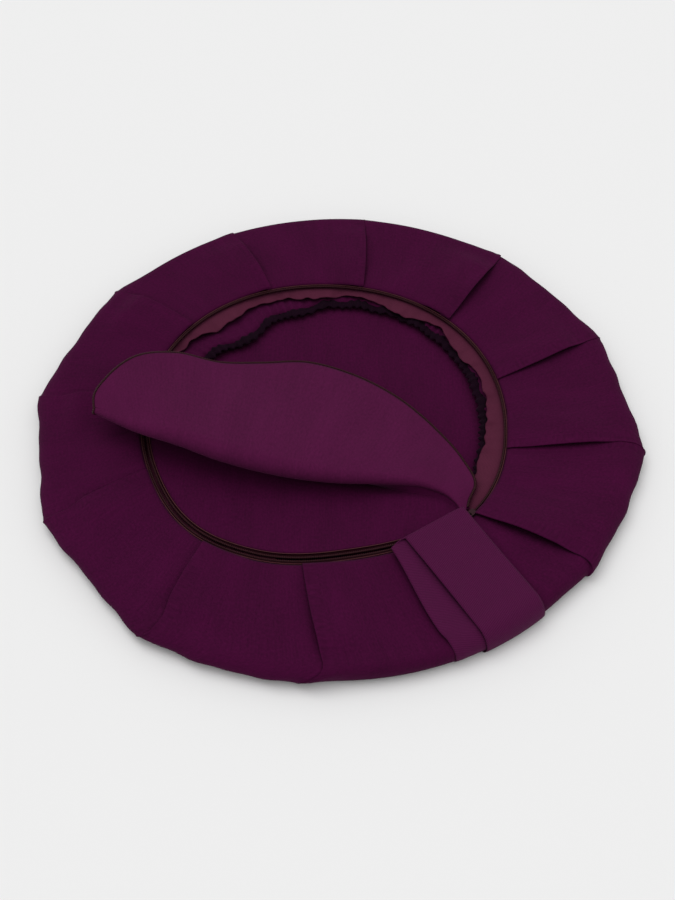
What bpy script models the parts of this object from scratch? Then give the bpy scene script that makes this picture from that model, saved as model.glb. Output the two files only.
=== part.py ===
"""Fabric cover for a rhythmic gymnastics hoop, with the hoop inside it.

Metres, +Z up. The cover lies on its back on z = 0 and the hoop's centre is over the origin. The lid is
shown part open: one arc of the round zip is closed, and the free half of the lid is folded back on itself.
"""

from math import acos, cos, degrees, pi, radians, sin

import bmesh
import bpy
from mathutils import Matrix, Vector

# Hoop
HOOP_RADIUS = 0.309  # centre line of the tube, for a hoop 600 mm across inside
HOOP_TUBE_RADIUS = 0.009
HOOP_WALL = 0.002
HOOP_Z = 0.0134
HOOP_JOINT_GAP = 0.0006
HOOP_SIDES = 60
TUBE_SIDES = 10
PLUG_LENGTH_ANGLE = 11.0  # degrees of the hoop
PLUG_CLEARANCE = 0.0009
PIN_RADIUS = 0.0015
PIN_CLEARANCE = 0.0004

# Cover
CORNER_RADIUS = 0.332  # to the twelve corners that the tucks make in the rim
TUCKS = 12
TUCK_PHASE = -6.7  # degrees, angle of the first tuck
TUCK_STEPS = 7  # stations round the ring for each tuck
TUCK_HEIGHT = 0.0022
FABRIC = 0.0012
COVER_HALF_HEIGHT = 0.0114  # outside of the fabric, above and below the tube's centre
BACK_HEM_RADIUS = 0.236
BACK_PANEL_RADIUS = 0.245

# Zip
ZIP_X = -0.012
ZIP_Y = 0.003
ZIP_Z = 0.018
ZIP_RADIUS = 0.200  # half-way between the two coils
COIL_GAP = 0.0014
COIL_WIDTH = 0.0030
COIL_THICKNESS = 0.0024
TAPE_THICKNESS = 0.0006
TAPE_WIDTH = 0.0110
RING_EDGE_RADIUS = ZIP_RADIUS + 0.0056
SPLIT_ANGLE = -42.5  # where the slider stands: the zip is open from here, anticlockwise, to FREE_END
FREE_END_ANGLE = 165.0
START_ANGLE = 171.0  # the closed end of the zip; the lid is sewn down between the two ends
SLIDER_HALF_WIDTH = 0.0050
SLIDER_HALF_LENGTH = 0.0070
SLIDER_GAP = 0.0017  # from the middle of the coils to each plate
SLIDER_PLATE = 0.0010
BRIDGE_HALF_WIDTH = 0.0011
BRIDGE_TOP = 0.0062
PULLER_AXIS_Y = 0.0043
PULLER_AXIS_Z = 0.0038
PULLER_LENGTH = 0.0105
PULLER_HALF_WIDTH = 0.0034
PULLER_THICKNESS = 0.0014
RING_STEP = 3.75  # degrees between the stations of a round strip

# Lid folds, both about axes through the slider's place
RETURN_WEDGE = 16.0  # degrees at the slider between the two fold lines
RETURN_SLOPE = 24.0  # degrees between the lower lid and the layer folded back over it
FLAP_SLOPE = 13.0  # degrees between that layer and the flap above it
LID_APEX_ANGLE = 5.5  # degrees past the slider where the folded layers begin
STOP_ANGLES = (1.4, 0.6)  # degrees from the zip's free end to the two ends of its stops
FOLD_OFFSET = 0.002  # the fold axes' height above and below the middle of the panel
LID_THICKNESS = 0.0014
LID_RADIUS = ZIP_RADIUS - COIL_GAP / 2 - COIL_WIDTH - 0.0006
FOLD_MARGIN = 0.0016
APEX_MARGIN = 0.017

# Strap
STRAP_ANGLE = -56.9
STRAP_SIDE = 0.0071
STRAP_WIDTH = 0.074
STRAP_THICKNESS = 0.0016
STRAP_INNER = 0.1765
STRAP_OUTER = 0.314
STRAP_Z = 0.0254
STRAP_LAYER_GAP = 0.0006
STRAP_FAN = 0.018  # how far the lower layer has slipped sideways at the rim


def polar(radius, angle, z=0.0):
    """The point at this radius and angle."""
    return Vector((radius * cos(radians(angle)), radius * sin(radians(angle)), z))


ZIP_CENTRE = Vector((ZIP_X, ZIP_Y, ZIP_Z))
SPLIT = ZIP_CENTRE + polar(ZIP_RADIUS, SPLIT_ANGLE)


def clear_scene():
    for obj in list(bpy.data.objects):
        bpy.data.objects.remove(obj, do_unlink=True)


def material(name, colour, roughness, metallic=0.0):
    """A Principled BSDF of this colour."""
    made = bpy.data.materials.new(name)
    made.use_nodes = True
    shader = made.node_tree.nodes["Principled BSDF"]
    shader.inputs["Base Color"].default_value = (*colour, 1)
    shader.inputs["Roughness"].default_value = roughness
    shader.inputs["Metallic"].default_value = metallic
    return made


def materials():
    return {
        "cover": material("cover_fabric", (0.070, 0.010, 0.042), 0.90),
        "lid": material("lid_fabric", (0.095, 0.014, 0.055), 0.90),
        "tape": material("zip_tape", (0.105, 0.032, 0.052), 0.70),
        "coil": material("zip_coil", (0.040, 0.016, 0.020), 0.45),
        "elastic": material("elastic", (0.018, 0.006, 0.016), 0.85),
        "strap": material("strap_webbing", (0.072, 0.010, 0.044), 0.80),
        "hoop": material("hoop_plastic", (0.62, 0.60, 0.58), 0.30),
        "plug": material("plug_plastic", (0.20, 0.20, 0.21), 0.45),
        "metal": material("zip_metal", (0.10, 0.06, 0.07), 0.35, 1.0),
        "pin": material("pin_steel", (0.60, 0.60, 0.62), 0.30, 1.0),
    }


def new_object(name, mesh, look, origin=None):
    """A linked object with this mesh; its origin goes to the given point."""
    if origin is not None:
        mesh.transform(Matrix.Translation(-origin))
    obj = bpy.data.objects.new(name, mesh)
    if origin is not None:
        obj.location = origin
    obj.data.materials.append(look)
    bpy.context.scene.collection.objects.link(obj)
    return obj


def mesh_from(bm, name):
    bmesh.ops.recalc_face_normals(bm, faces=bm.faces)
    mesh = bpy.data.meshes.new(name)
    bm.to_mesh(mesh)
    bm.free()
    return mesh


def sweep(name, sections, closed):
    """Joins a row of closed sections, each a list of points, into one solid."""
    bm = bmesh.new()
    rows = [[bm.verts.new(point) for point in section] for section in sections]
    pairs = list(zip(rows, rows[1:]))
    if closed:
        pairs.append((rows[-1], rows[0]))
    count = len(rows[0])
    for here, there in pairs:
        for i in range(count):
            j = (i + 1) % count
            bm.faces.new((here[i], here[j], there[j], there[i]))
    if not closed:
        bm.faces.new(rows[0])
        bm.faces.new(rows[-1])
    return mesh_from(bm, name)


def stations(start, end, step=RING_STEP):
    """Angles from start to end, evenly spaced at about this step."""
    count = max(1, round(abs(end - start) / step))
    return [start + (end - start) * i / count for i in range(count + 1)]


def strip_mesh(name, profile, start=None, end=None, centre=ZIP_CENTRE):
    """A profile of (radius, height) carried round an arc, or all the way round."""
    closed = start is None
    if closed:
        angles = [RING_STEP * i for i in range(round(360 / RING_STEP))]
    else:
        angles = stations(start, end)
    sections = [[centre + polar(r, angle, z) for r, z in profile] for angle in angles]
    return sweep(name, sections, closed)


def box_profile(inner, outer, low, high):
    return [(inner, low), (outer, low), (outer, high), (inner, high)]


# ---------------------------------------------------------------- hoop


def tube_section(angle, radius):
    """A round section across the hoop."""
    ring = []
    for i in range(TUBE_SIDES):
        turn = 2 * pi * i / TUBE_SIDES
        ring.append(polar(HOOP_RADIUS + radius * cos(turn), angle, HOOP_Z + radius * sin(turn)))
    return ring


def hoop_tube():
    """The hollow tube, bent to a circle whose ends almost meet."""
    half_gap = HOOP_JOINT_GAP / HOOP_RADIUS * 90 / pi
    angles = stations(90 + half_gap, 450 - half_gap, 360 / HOOP_SIDES)
    bm = bmesh.new()
    outer = [[bm.verts.new(p) for p in tube_section(a, HOOP_TUBE_RADIUS)] for a in angles]
    inner = [[bm.verts.new(p) for p in tube_section(a, HOOP_TUBE_RADIUS - HOOP_WALL)] for a in angles]
    for i in range(TUBE_SIDES):
        j = (i + 1) % TUBE_SIDES
        for rows in (outer, inner):
            for here, there in zip(rows, rows[1:]):
                bm.faces.new((here[i], here[j], there[j], there[i]))
        for end in (0, -1):
            bm.faces.new((outer[end][i], outer[end][j], inner[end][j], inner[end][i]))
    return mesh_from(bm, "hoop_tube")


def hoop_plug():
    """The plug inside the two ends of the tube."""
    radius = HOOP_TUBE_RADIUS - HOOP_WALL - PLUG_CLEARANCE
    half = PLUG_LENGTH_ANGLE / 2
    sections = [tube_section(a, radius) for a in stations(90 - half, 90 + half, 2.2)]
    return sweep("hoop_joint_plug", sections, False)


def radial_cylinder(name, radius, inner, outer, angle):
    """A cylinder that points at the hoop's centre."""
    bm = bmesh.new()
    turn = Matrix.Rotation(radians(angle), 4, "Z") @ Matrix.Rotation(pi / 2, 4, "Y")
    place = Matrix.Translation(polar((inner + outer) / 2, angle, HOOP_Z))
    bmesh.ops.create_cone(
        bm, cap_ends=True, segments=12, radius1=radius, radius2=radius, depth=outer - inner,
        matrix=place @ turn,
    )
    return mesh_from(bm, name)


def cut(obj, cutter):
    modifier = obj.modifiers.new("cut", "BOOLEAN")
    modifier.operation = "DIFFERENCE"
    modifier.object = cutter


def make_hoop(looks):
    """Hoop tube, the plug in its joint and the two pins that hold the plug."""
    axis = Vector((0, 0, HOOP_Z))
    tube = new_object("hoop_tube", hoop_tube(), looks["hoop"], axis)
    plug = new_object("hoop_joint_plug", hoop_plug(), looks["plug"], axis)
    for letter, side in (("a", -1), ("b", 1)):
        angle = 90 + side * PLUG_LENGTH_ANGLE / 4
        low = HOOP_RADIUS - HOOP_TUBE_RADIUS - 0.004
        hole = radial_cylinder("hole", PIN_RADIUS + PIN_CLEARANCE, low, HOOP_RADIUS, angle)
        cutter = new_object("pin_hole_" + letter, hole, looks["pin"])
        cutter.hide_render = True
        cutter.display_type = "WIRE"
        cut(tube, cutter)
        cut(plug, cutter)
        head = HOOP_RADIUS - HOOP_TUBE_RADIUS + 0.0002
        pin = radial_cylinder("pin", PIN_RADIUS, head, HOOP_RADIUS - 0.0004, angle)
        new_object("hoop_joint_pin_" + letter, pin, looks["pin"], axis)
    for obj in (tube, plug):
        smooth(obj, 40)


def smooth(obj, sharp_angle):
    obj.data.shade_smooth()
    obj.data.set_sharp_from_angle(angle=radians(sharp_angle))


# ---------------------------------------------------------------- cover


def rim_radius(angle):
    """The outline of the cover: straight between the tucks."""
    half = 180 / TUCKS
    from_middle = (angle - TUCK_PHASE) % (2 * half) - half
    return CORNER_RADIUS * cos(radians(half)) / cos(radians(from_middle))


def tuck_rise(angle):
    """How far a tuck lifts the fabric here: a long slope up to the fold, then a drop."""
    along = ((angle - TUCK_PHASE) % (360 / TUCKS)) / (360 / TUCKS)
    return TUCK_HEIGHT * max(0.0, 1 - along * 3.5) if along < 0.5 else 0.0


def rim_arc(reach, half_height, count):
    """Half an ellipse round the outside of the hoop, from the top to the bottom."""
    return [
        (HOOP_RADIUS + reach * sin(pi * i / count), HOOP_Z + half_height * cos(pi * i / count))
        for i in range(count + 1)
    ]


def cover_section(angle):
    """The closed section of the pleated strip: up from the zip, round the hoop and back to the hem."""
    reach = rim_radius(angle) - HOOP_RADIUS
    edge = ZIP_CENTRE + polar(RING_EDGE_RADIUS, angle)
    direction = polar(1, angle)
    crown = direction * HOOP_RADIUS
    low_top = ZIP_Z + TAPE_THICKNESS / 2 + 0.0003
    high_top = HOOP_Z + COVER_HALF_HEIGHT - FABRIC

    def top(share, rise):
        place = edge.lerp(crown, share)
        place.z = low_top + (high_top - low_top) * share ** 0.8 + rise
        return place

    rise = tuck_rise(angle)
    shares = (0.0, 0.35, 0.7)
    rises = (rise, rise, rise / 2)
    outer = [top(share, FABRIC + height) for share, height in zip(shares, rises)]
    inner = [top(share, height) for share, height in zip(shares, (0, rise, rise / 2))]
    outer += [direction * r + Vector((0, 0, z)) for r, z in rim_arc(reach, COVER_HALF_HEIGHT, 6)]
    inner += [
        direction * r + Vector((0, 0, z))
        for r, z in rim_arc(reach - FABRIC, COVER_HALF_HEIGHT - FABRIC, 6)
    ]
    bottom = HOOP_Z - COVER_HALF_HEIGHT
    outer.append(polar(BACK_HEM_RADIUS, angle, bottom))
    inner.append(polar(BACK_HEM_RADIUS, angle, bottom + FABRIC))
    return outer + inner[::-1]


def make_cover(looks):
    """Pleated ring, back panel, the inner flap that keeps the hoop in the rim and its elastic."""
    count = TUCKS * TUCK_STEPS
    sections = [cover_section(TUCK_PHASE + 360 * i / count) for i in range(count)]
    ring = new_object("pleated_ring", sweep("pleated_ring", sections, True), looks["cover"])
    smooth(ring, 35)
    new_object("back_panel", back_panel_mesh(), looks["cover"])
    hem_top = HOOP_Z - COVER_HALF_HEIGHT + FABRIC + 0.0004
    flap = [
        (0.2930, hem_top), (0.2930, hem_top + FABRIC), (0.2400, hem_top + FABRIC + 0.0006),
        (0.1792, 0.0072 + FABRIC), (0.1792, 0.0072), (0.2400, hem_top + 0.0006),
    ]
    channel = strip_mesh("hoop_channel_flap", flap, centre=Vector((0, 0, 0)))
    smooth(new_object("hoop_channel_flap", channel, looks["cover"]), 35)
    band = box_profile(0.1720, 0.1788, 0.0058, 0.0090)
    elastic = strip_mesh("channel_elastic", band, centre=Vector((0, 0, 0)))
    new_object("channel_elastic", elastic, looks["elastic"])


def back_panel_mesh():
    """The round back panel, which lies flat on the ground."""
    bm = bmesh.new()
    bmesh.ops.create_cone(
        bm, cap_ends=True, segments=72, radius1=BACK_PANEL_RADIUS, radius2=BACK_PANEL_RADIUS,
        depth=FABRIC, matrix=Matrix.Translation((0, 0, FABRIC / 2)),
    )
    return mesh_from(bm, "back_panel")


# ---------------------------------------------------------------- zip


def coil_profile(side):
    """Section of one coil: side 1 is the ring's, outside the gap, and side -1 is the lid's."""
    near = ZIP_RADIUS + side * COIL_GAP / 2
    far = near + side * COIL_WIDTH
    low, high = sorted((near, far))
    return box_profile(low, high, -COIL_THICKNESS / 2, COIL_THICKNESS / 2)


def ring_tape_profile():
    """Section of the ring's tape, which runs out from its coil under the pleated ring."""
    near = ZIP_RADIUS + COIL_GAP / 2 + COIL_WIDTH + 0.0003
    return box_profile(near, near + TAPE_WIDTH, -TAPE_THICKNESS / 2, TAPE_THICKNESS / 2)


def lid_tape_profile():
    """Section of the lid's tape, sewn under the edge of the lid."""
    top = -LID_THICKNESS / 2 - 0.0003
    far = ZIP_RADIUS - SLIDER_HALF_WIDTH - 0.0006
    return box_profile(far - TAPE_WIDTH, far, top - TAPE_THICKNESS, top)


def stop_profile(inner, outer):
    return box_profile(inner, outer, -0.0018, 0.0018)


def make_ring_zip(looks):
    """The ring's half of the zip, the facing behind it and the closed end."""
    finish = START_ANGLE - 360
    pieces = (
        ("zip_coil_ring", coil_profile(1), looks["coil"]),
        ("zip_tape_ring", ring_tape_profile(), looks["tape"]),
    )
    for name, profile, look in pieces:
        mesh = strip_mesh(name, profile, finish, FREE_END_ANGLE - 1.5)
        new_object(name, mesh, look)
    facing = [(0.2165, -0.0034), (0.2030, -0.0040), (0.1835, -0.0082), (0.1835, -0.0088),
              (0.2030, -0.0046), (0.2165, -0.0040)]
    strip = new_object("zip_facing_strip", strip_mesh("zip_facing_strip", facing), looks["tape"])
    smooth(strip, 30)
    half = COIL_GAP / 2 + COIL_WIDTH
    start = stop_profile(ZIP_RADIUS - half, ZIP_RADIUS + half)
    new_object("zip_start_stop", strip_mesh("stop", start, finish - 0.2, finish - 1.0), looks["metal"])
    ring_stop = stop_profile(ZIP_RADIUS + COIL_GAP / 2, ZIP_RADIUS + half)
    end = strip_mesh("stop", ring_stop, FREE_END_ANGLE - STOP_ANGLES[0], FREE_END_ANGLE - STOP_ANGLES[1])
    new_object("zip_end_stop_ring", end, looks["metal"])
    join = box_profile(LID_RADIUS + 0.0004, ZIP_RADIUS + 0.0038, -0.0007, 0.0007)
    patch = strip_mesh("patch", join, FREE_END_ANGLE + 1.0, START_ANGLE - 1.4)
    new_object("lid_sewn_joint", patch, looks["lid"])


def make_slider(looks):
    """Slider body, open at both ends for the coils, and the puller on its bridge.

    The slider's local x points away from the zip's centre and its y along the zip, towards the open part.
    """
    turn = Matrix.Rotation(radians(SPLIT_ANGLE), 4, "Z")
    place = Matrix.Translation(SPLIT) @ turn
    body = new_object("zip_slider_body", slider_mesh(), looks["metal"])
    body.matrix_world = place
    axis = Vector((0, PULLER_AXIS_Y, PULLER_AXIS_Z))
    puller = new_object("zip_puller", puller_mesh(), looks["metal"], axis)
    puller.matrix_world = place @ Matrix.Translation(axis)


def add_box(bm, low, high):
    """A box between two corners."""
    size = Vector(high) - Vector(low)
    middle = (Vector(high) + Vector(low)) / 2
    matrix = Matrix.Translation(middle) @ Matrix.Diagonal((*size, 1))
    bmesh.ops.create_cube(bm, size=1, matrix=matrix)


def prism(bm, outline, low, high):
    """A solid with this (x, y) outline between two heights."""
    base = bm.faces.new([bm.verts.new((x, y, low)) for x, y in outline])
    made = bmesh.ops.extrude_face_region(bm, geom=[base])
    top = [item for item in made["geom"] if isinstance(item, bmesh.types.BMVert)]
    bmesh.ops.translate(bm, verts=top, vec=(0, 0, high - low))


def slider_mesh():
    """Two plates joined by a post that runs between the coils, with a bridge on top."""
    w, h = SLIDER_HALF_WIDTH, SLIDER_HALF_LENGTH
    outline = [(-w, h), (w, h), (w, h * 0.1), (w * 0.72, -h), (-w * 0.72, -h), (-w, h * 0.1)]
    bm = bmesh.new()
    prism(bm, outline, SLIDER_GAP, SLIDER_GAP + SLIDER_PLATE)
    prism(bm, outline, -SLIDER_GAP - SLIDER_PLATE, -SLIDER_GAP)
    low, top = SLIDER_GAP + 0.0005, BRIDGE_TOP
    b = BRIDGE_HALF_WIDTH
    return union_into(mesh_from(bm, "zip_slider_body"), [
        ((-0.0004, 0.0030, -SLIDER_GAP - 0.0005), (0.0004, h - 0.0004, SLIDER_GAP + 0.0005)),
        ((-b, 0.0054, low), (b, 0.0068, top)),
        ((-b, -0.0054, low), (b, -0.0038, top)),
        ((-b, -0.0054, top - 0.0010), (b, 0.0068, top)),
    ])


def union_into(mesh, boxes):
    """Joins boxes to a mesh with Boolean unions, and gives the joined mesh."""
    base = bpy.data.objects.new("base", mesh)
    bpy.context.scene.collection.objects.link(base)
    helpers = []
    for low, high in boxes:
        bm = bmesh.new()
        add_box(bm, low, high)
        helper = bpy.data.objects.new("helper", mesh_from(bm, "helper"))
        bpy.context.scene.collection.objects.link(helper)
        helpers.append(helper)
        modifier = base.modifiers.new("join", "BOOLEAN")
        modifier.operation = "UNION"
        modifier.object = helper
    graph = bpy.context.evaluated_depsgraph_get()
    joined = bpy.data.meshes.new_from_object(base.evaluated_get(graph))
    for obj in [base, *helpers]:
        bpy.data.objects.remove(obj, do_unlink=True)
    joined.materials.clear()
    return joined


def puller_mesh():
    """A flat tab with an eye round the slider's bridge; it lies along the open part of the zip."""
    low = PULLER_AXIS_Z - PULLER_THICKNESS / 2
    high = PULLER_AXIS_Z + PULLER_THICKNESS / 2
    start = PULLER_AXIS_Y - 0.0005
    tip = PULLER_AXIS_Y + PULLER_LENGTH
    eye = PULLER_AXIS_Y + 0.0045
    bm = bmesh.new()
    add_box(bm, (-PULLER_HALF_WIDTH, eye, low), (PULLER_HALF_WIDTH, tip, high))
    return union_into(mesh_from(bm, "zip_puller"), [
        ((-0.0030, start, low), (-0.0018, eye + 0.0006, high)),
        ((0.0018, start, low), (0.0030, eye + 0.0006, high)),
        ((-0.0030, start, low + 0.0002), (0.0030, start + 0.0010, high - 0.0002)),
    ])


# ---------------------------------------------------------------- lid


def fold_direction(wedge):
    """Direction of the fold line that leaves the slider this many degrees inside the first one."""
    return (SPLIT_ANGLE + FREE_END_ANGLE) / 2 + 90 - wedge


def rotation_about(point, direction, angle):
    turn = Matrix.Rotation(radians(angle), 4, direction)
    return Matrix.Translation(point) @ turn @ Matrix.Translation(-point)


def fold_matrices():
    """Where the closed, flat lid goes when it is folded back: one matrix for each folded part."""
    first = polar(1, fold_direction(0))
    second = polar(1, fold_direction(RETURN_WEDGE))
    lift = Vector((0, 0, FOLD_OFFSET))
    back_over = rotation_about(SPLIT + lift, -first, 180 - RETURN_SLOPE)
    forward = rotation_about(SPLIT - lift, second, 180 - FLAP_SLOPE)
    return back_over, back_over @ forward


def arc_points(radius, start, end):
    return [ZIP_CENTRE + polar(radius, angle) for angle in stations(start, end)]


def hit_angle(direction, radius, offset):
    """Angle, about the zip's centre, where a line beside a fold line meets a circle.

    The line runs from near the slider in this direction, offset to its left.
    """
    normal = direction + 90
    distance = (SPLIT - ZIP_CENTRE).dot(polar(1, normal)) + offset
    return normal - degrees(acos(distance / radius))


def plate(name, outline, thickness):
    """A flat panel of this outline, with its middle in the outline's plane."""
    bm = bmesh.new()
    bottom = [bm.verts.new(p - Vector((0, 0, thickness / 2))) for p in outline]
    base = bm.faces.new(bottom)
    made = bmesh.ops.extrude_face_region(bm, geom=[base])
    top = [item for item in made["geom"] if isinstance(item, bmesh.types.BMVert)]
    bmesh.ops.translate(bm, verts=top, vec=(0, 0, thickness))
    return mesh_from(bm, name)


def folded(name, mesh, look, matrix):
    """A lid piece made flat, then put where its folds carry it. Its origin is on the fold lines."""
    mesh.transform(Matrix.Translation(-SPLIT))
    obj = bpy.data.objects.new(name, mesh)
    obj.matrix_world = matrix @ Matrix.Translation(SPLIT)
    obj.data.materials.append(look)
    bpy.context.scene.collection.objects.link(obj)
    return obj


def lid_limits():
    """Angles of the zip that the lower lid, the returned layer and the flap each hold."""
    crease = FREE_END_ANGLE - 2 * RETURN_WEDGE
    apex = LID_APEX_ANGLE
    return {
        "lower": (START_ANGLE - 360, SPLIT_ANGLE),
        "return": (crease + 0.8, FREE_END_ANGLE - 1.5),
        "flap": (SPLIT_ANGLE + apex, crease - 0.8),
    }


def near_apex(direction, offset):
    """A point on the line beside a fold line, close to the slider."""
    return SPLIT + polar(APEX_MARGIN, direction) + polar(offset, direction + 90)


def lower_panel_outline():
    direction = fold_direction(0)
    far = hit_angle(direction, LID_RADIUS, FOLD_MARGIN)
    outline = arc_points(LID_RADIUS, far, SPLIT_ANGLE + 360 - 2.0)
    outline.append(near_apex(direction, FOLD_MARGIN))
    return outline


def return_panel_outline():
    low = fold_direction(0)
    high = fold_direction(RETURN_WEDGE)
    start = hit_angle(high, LID_RADIUS, FOLD_MARGIN)
    end = hit_angle(low, LID_RADIUS, -FOLD_MARGIN)
    outline = arc_points(LID_RADIUS, start, end)
    outline.append(SPLIT + polar(APEX_MARGIN * 1.3, (low + high) / 2))
    return outline


def flap_panel_outline():
    direction = fold_direction(RETURN_WEDGE)
    end = hit_angle(direction, LID_RADIUS, -FOLD_MARGIN)
    outline = arc_points(LID_RADIUS, SPLIT_ANGLE + LID_APEX_ANGLE, end)
    outline.append(near_apex(direction, -FOLD_MARGIN))
    return outline


def make_lid(looks):
    """The round lid in its three parts, each with its share of the coil and tape."""
    back_over, forward = fold_matrices()
    parts = (
        ("lower", Matrix.Identity(4), lower_panel_outline()),
        ("return", back_over, return_panel_outline()),
        ("flap", forward, flap_panel_outline()),
    )
    limits = lid_limits()
    for part, matrix, outline in parts:
        panel = plate("lid_panel_" + part, outline, LID_THICKNESS)
        folded("lid_panel_" + part, panel, looks["lid"], matrix)
        start, end = limits[part]
        coil = strip_mesh("coil", coil_profile(-1), start, end)
        folded("zip_coil_lid_" + part, coil, looks["coil"], matrix)
        tape = strip_mesh("tape", lid_tape_profile(), start, end)
        folded("zip_tape_lid_" + part, tape, looks["tape"], matrix)
    inner = stop_profile(ZIP_RADIUS - COIL_GAP / 2 - COIL_WIDTH, ZIP_RADIUS - COIL_GAP / 2)
    stop = strip_mesh("stop", inner, FREE_END_ANGLE - STOP_ANGLES[0], FREE_END_ANGLE - STOP_ANGLES[1])
    folded("zip_end_stop_lid", stop, looks["metal"], back_over)


# ---------------------------------------------------------------- strap


def strap_point(along, side, z):
    """A point in the strap's own frame: along it from the hoop's centre, sideways and up."""
    flat = polar(along, STRAP_ANGLE) + polar(STRAP_SIDE + side, STRAP_ANGLE + 90)
    return Vector((flat.x, flat.y, z))


def strap_loop_mesh():
    """Two layers of webbing joined by the turned end beside the zip."""
    layer = STRAP_THICKNESS
    inside = STRAP_LAYER_GAP / 2
    middle = STRAP_Z + layer + inside
    path = []
    for share in (1.0, 0.5, 0.0):
        path.append((STRAP_INNER + (STRAP_OUTER - STRAP_INNER) * share, -share * STRAP_FAN))
    sections = []
    for x, side in path:
        sections.append((x, side, STRAP_Z, x, STRAP_Z + layer))
    for i in range(1, 6):
        turn = pi * i / 6
        big = inside + layer
        sections.append((
            STRAP_INNER - big * sin(turn), 0, middle - big * cos(turn),
            STRAP_INNER - inside * sin(turn), middle - inside * cos(turn),
        ))
    for share in (0.0, 0.5, 1.0):
        x = STRAP_INNER + (STRAP_OUTER - STRAP_INNER) * share
        sections.append((x, 0, middle + inside + layer, x, middle + inside))
    half = STRAP_WIDTH / 2
    rows = [
        [strap_point(xo, side - half, zo), strap_point(xo, side + half, zo),
         strap_point(xi, side + half, zi), strap_point(xi, side - half, zi)]
        for xo, side, zo, xi, zi in sections
    ]
    return sweep("strap_loop", rows, False)


def make_strap(looks):
    new_object("strap_loop", strap_loop_mesh(), looks["strap"], strap_hinge_point())
    new_object("strap_rim_wrap", strap_wrap_mesh(), looks["strap"])


def strap_hinge_point():
    return polar(rim_flat() + 0.006, chord_normal(), 0.0225) + polar(strap_offset(), chord_normal() + 90)


def chord_normal():
    """Direction of the middle of the straight piece of rim that the strap crosses."""
    half = 180 / TUCKS
    return TUCK_PHASE + half - 360 / TUCKS * 2


def rim_flat():
    return CORNER_RADIUS * cos(radians(180 / TUCKS))


def strap_offset():
    """How far along that straight piece the strap's middle is."""
    return polar(STRAP_OUTER, STRAP_ANGLE).dot(polar(1, chord_normal() + 90)) + STRAP_SIDE - STRAP_FAN / 2


def strap_wrap_mesh():
    """The webbing that goes over the rim and along the back to the hem, where it is sewn in."""
    reach = rim_flat() - HOOP_RADIUS + 0.0005
    half_height = COVER_HALF_HEIGHT + 0.0003
    count = 8
    outer = []
    inner = []
    for i in range(2, count + 1):
        turn = pi * i / count
        for row, more in ((outer, 0.0014), (inner, 0.0)):
            x = HOOP_RADIUS + (reach + more) * sin(turn)
            row.append((x, HOOP_Z + (half_height + more) * cos(turn)))
    for row in (outer, inner):
        row.append((BACK_PANEL_RADIUS + 0.0008, row[-1][1]))
    half = (STRAP_WIDTH + STRAP_FAN) / 2
    normal = chord_normal()
    rows = []
    for (xo, zo), (xi, zi) in zip(outer, inner):
        row = []
        for x, z, side in ((xo, zo, -half), (xo, zo, half), (xi, zi, half), (xi, zi, -half)):
            row.append(polar(x, normal, z) + polar(strap_offset() + side, normal + 90))
        rows.append(row)
    return sweep("strap_rim_wrap", rows, False)


def main():
    clear_scene()
    looks = materials()
    make_hoop(looks)
    make_cover(looks)
    make_ring_zip(looks)
    make_slider(looks)
    make_lid(looks)
    make_strap(looks)


main()
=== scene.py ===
"""Looks of the fabric cover for a rhythmic gymnastics hoop, with the hoop inside it.

Metres, +Z up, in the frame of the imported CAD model. All fabric is modelled here as thin sheets with two
faces; the hard pieces keep their CAD shape and get finished materials.
"""

from math import cos, pi, radians, sin

import bpy
import numpy as np
from mathutils import Euler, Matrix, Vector


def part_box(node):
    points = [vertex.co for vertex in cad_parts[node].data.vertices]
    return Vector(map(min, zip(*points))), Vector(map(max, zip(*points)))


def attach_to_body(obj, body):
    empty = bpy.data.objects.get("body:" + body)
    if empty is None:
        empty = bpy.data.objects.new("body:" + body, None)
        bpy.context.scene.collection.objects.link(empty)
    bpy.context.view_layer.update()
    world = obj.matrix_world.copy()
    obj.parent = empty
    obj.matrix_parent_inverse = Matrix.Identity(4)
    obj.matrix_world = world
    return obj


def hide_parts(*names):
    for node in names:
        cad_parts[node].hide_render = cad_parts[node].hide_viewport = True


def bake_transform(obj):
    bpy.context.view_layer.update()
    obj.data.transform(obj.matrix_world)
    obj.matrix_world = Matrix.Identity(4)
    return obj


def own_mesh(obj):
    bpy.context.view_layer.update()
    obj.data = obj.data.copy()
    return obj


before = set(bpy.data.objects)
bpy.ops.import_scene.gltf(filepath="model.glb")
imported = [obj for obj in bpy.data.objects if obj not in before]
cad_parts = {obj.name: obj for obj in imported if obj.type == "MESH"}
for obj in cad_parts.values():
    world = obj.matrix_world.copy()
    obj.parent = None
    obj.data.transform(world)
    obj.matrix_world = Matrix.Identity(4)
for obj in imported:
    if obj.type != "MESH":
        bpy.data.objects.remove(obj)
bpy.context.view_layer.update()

UP = np.array((0, 0, 1.0))


def box_of(node):
    """Lowest and highest corner of a CAD node."""
    return [np.array(corner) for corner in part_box(node)]


# Thicknesses
CLOTH = 0.0010
THIN_CLOTH = 0.0008
TAPE = 0.0006
WEBBING = 0.0013
TUBE_RADIUS = 0.009

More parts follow.
